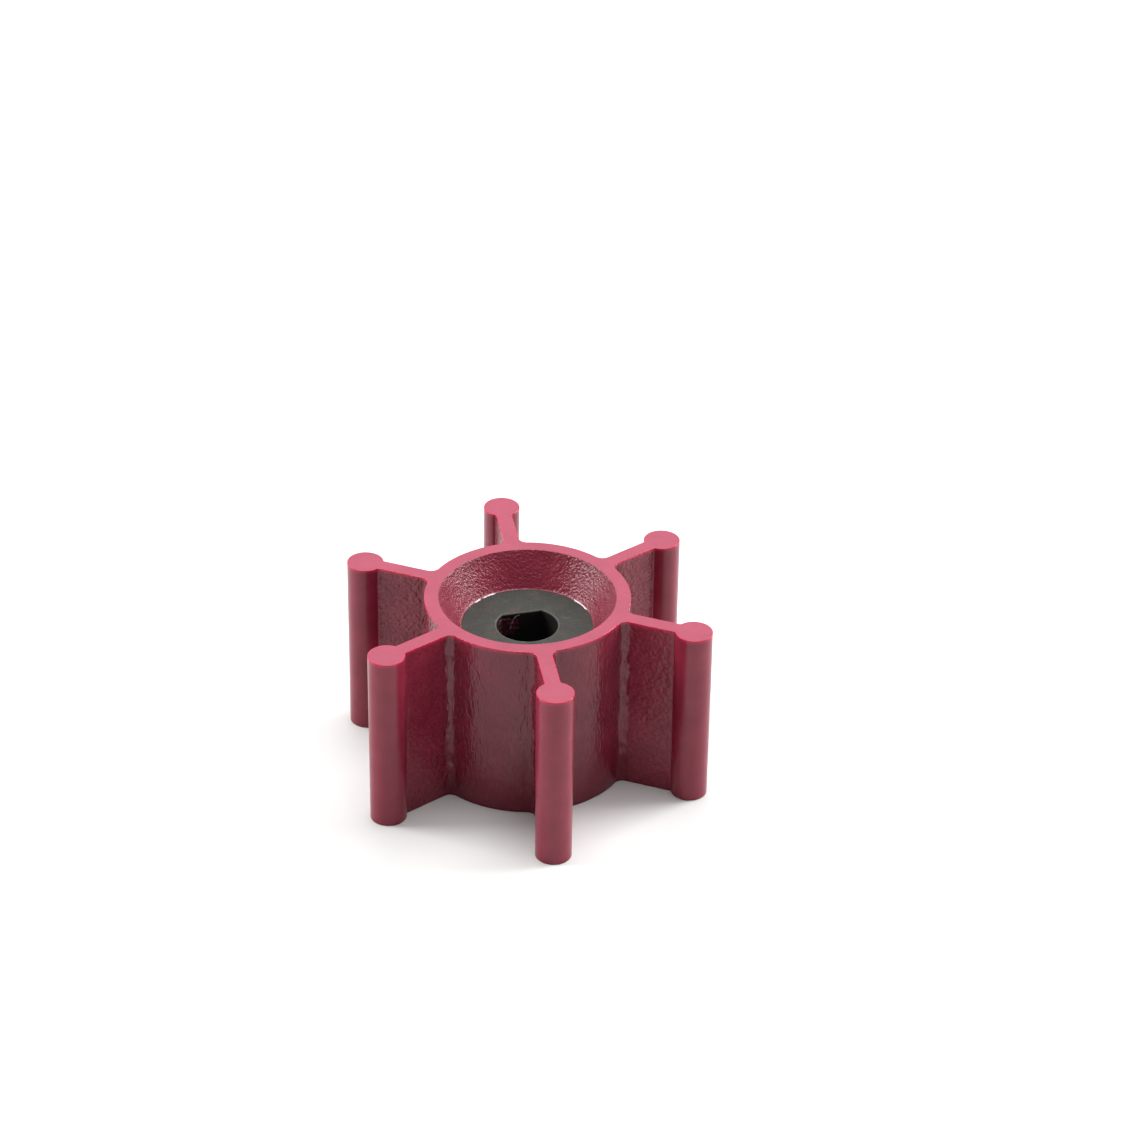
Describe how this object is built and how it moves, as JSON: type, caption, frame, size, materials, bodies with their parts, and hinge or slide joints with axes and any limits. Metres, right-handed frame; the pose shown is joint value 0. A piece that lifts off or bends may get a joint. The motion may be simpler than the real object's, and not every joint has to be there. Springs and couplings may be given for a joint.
{
  "type": "flexible pump impeller",
  "caption": "Flexible rubber pump impeller: straight radial vanes with bulb tips round a dished hub, moulded on a hard insert with a D-shaped drive bore.",
  "frame": {"origin": "on the turning axis, at the lower end face", "axes": "+Z along the turning axis, out of the upper end face; +Y from the axis towards the flat of the bore"},
  "size_m": [0.0466, 0.0506, 0.0249],
  "materials": {
    "rubber": "satin moulded rubber with ground end faces",
    "insert": "matte moulded, finely pitted"
  },
  "bodies": {
    "hub": {"drive_insert": "insert", "hub_sleeve": "rubber"},
    "vane_1_inner": {"vane_1_blade": "rubber"},
    "vane_1_outer": {"vane_1_tip": "rubber"},
    "vane_2_inner": {"vane_2_blade": "rubber"},
    "vane_2_outer": {"vane_2_tip": "rubber"},
    "vane_3_inner": {"vane_3_blade": "rubber"},
    "vane_3_outer": {"vane_3_tip": "rubber"},
    "vane_4_inner": {"vane_4_blade": "rubber"},
    "vane_4_outer": {"vane_4_tip": "rubber"},
    "vane_5_inner": {"vane_5_blade": "rubber"},
    "vane_5_outer": {"vane_5_tip": "rubber"},
    "vane_6_inner": {"vane_6_blade": "rubber"},
    "vane_6_outer": {"vane_6_tip": "rubber"}
  },
  "joints": [
    {"name": "vane_1_root_flex", "type": "hinge", "parent": "hub", "child": "vane_1_inner", "pos_m": [0.01432, 0.00656, 0.01245], "axis": [0, 0, 1], "range_deg": [-35, 35], "stiffness_Nm_per_rad": 0.02},
    {"name": "vane_1_mid_flex", "type": "hinge", "parent": "vane_1_inner", "child": "vane_1_outer", "pos_m": [0.01691, 0.00774, 0.01245], "axis": [0, 0, 1], "range_deg": [-35, 35], "stiffness_Nm_per_rad": 0.02},
    {"name": "vane_2_root_flex", "type": "hinge", "parent": "hub", "child": "vane_2_inner", "pos_m": [0.00148, 0.01568, 0.01245], "axis": [0, 0, 1], "range_deg": [-35, 35], "stiffness_Nm_per_rad": 0.02},
    {"name": "vane_2_mid_flex", "type": "hinge", "parent": "vane_2_inner", "child": "vane_2_outer", "pos_m": [0.00175, 0.01852, 0.01245], "axis": [0, 0, 1], "range_deg": [-35, 35], "stiffness_Nm_per_rad": 0.02},
    {"name": "vane_3_root_flex", "type": "hinge", "parent": "hub", "child": "vane_3_inner", "pos_m": [-0.01284, 0.00912, 0.01245], "axis": [0, 0, 1], "range_deg": [-35, 35], "stiffness_Nm_per_rad": 0.02},
    {"name": "vane_3_mid_flex", "type": "hinge", "parent": "vane_3_inner", "child": "vane_3_outer", "pos_m": [-0.01516, 0.01077, 0.01245], "axis": [0, 0, 1], "range_deg": [-35, 35], "stiffness_Nm_per_rad": 0.02},
    {"name": "vane_4_root_flex", "type": "hinge", "parent": "hub", "child": "vane_4_inner", "pos_m": [-0.01432, -0.00656, 0.01245], "axis": [0, 0, 1], "range_deg": [-35, 35], "stiffness_Nm_per_rad": 0.02},
    {"name": "vane_4_mid_flex", "type": "hinge", "parent": "vane_4_inner", "child": "vane_4_outer", "pos_m": [-0.01691, -0.00774, 0.01245], "axis": [0, 0, 1], "range_deg": [-35, 35], "stiffness_Nm_per_rad": 0.02},
    {"name": "vane_5_root_flex", "type": "hinge", "parent": "hub", "child": "vane_5_inner", "pos_m": [-0.00148, -0.01568, 0.01245], "axis": [0, 0, 1], "range_deg": [-35, 35], "stiffness_Nm_per_rad": 0.02},
    {"name": "vane_5_mid_flex", "type": "hinge", "parent": "vane_5_inner", "child": "vane_5_outer", "pos_m": [-0.00175, -0.01852, 0.01245], "axis": [0, 0, 1], "range_deg": [-35, 35], "stiffness_Nm_per_rad": 0.02},
    {"name": "vane_6_root_flex", "type": "hinge", "parent": "hub", "child": "vane_6_inner", "pos_m": [0.01284, -0.00912, 0.01245], "axis": [0, 0, 1], "range_deg": [-35, 35], "stiffness_Nm_per_rad": 0.02},
    {"name": "vane_6_mid_flex", "type": "hinge", "parent": "vane_6_inner", "child": "vane_6_outer", "pos_m": [0.01516, -0.01077, 0.01245], "axis": [0, 0, 1], "range_deg": [-35, 35], "stiffness_Nm_per_rad": 0.02}
  ],
  "couplings": [
    {"joint": "vane_1_mid_flex", "follows": "vane_1_root_flex", "ratio": 1},
    {"joint": "vane_2_mid_flex", "follows": "vane_2_root_flex", "ratio": 1},
    {"joint": "vane_3_mid_flex", "follows": "vane_3_root_flex", "ratio": 1},
    {"joint": "vane_4_mid_flex", "follows": "vane_4_root_flex", "ratio": 1},
    {"joint": "vane_5_mid_flex", "follows": "vane_5_root_flex", "ratio": 1},
    {"joint": "vane_6_mid_flex", "follows": "vane_6_root_flex", "ratio": 1}
  ]
}
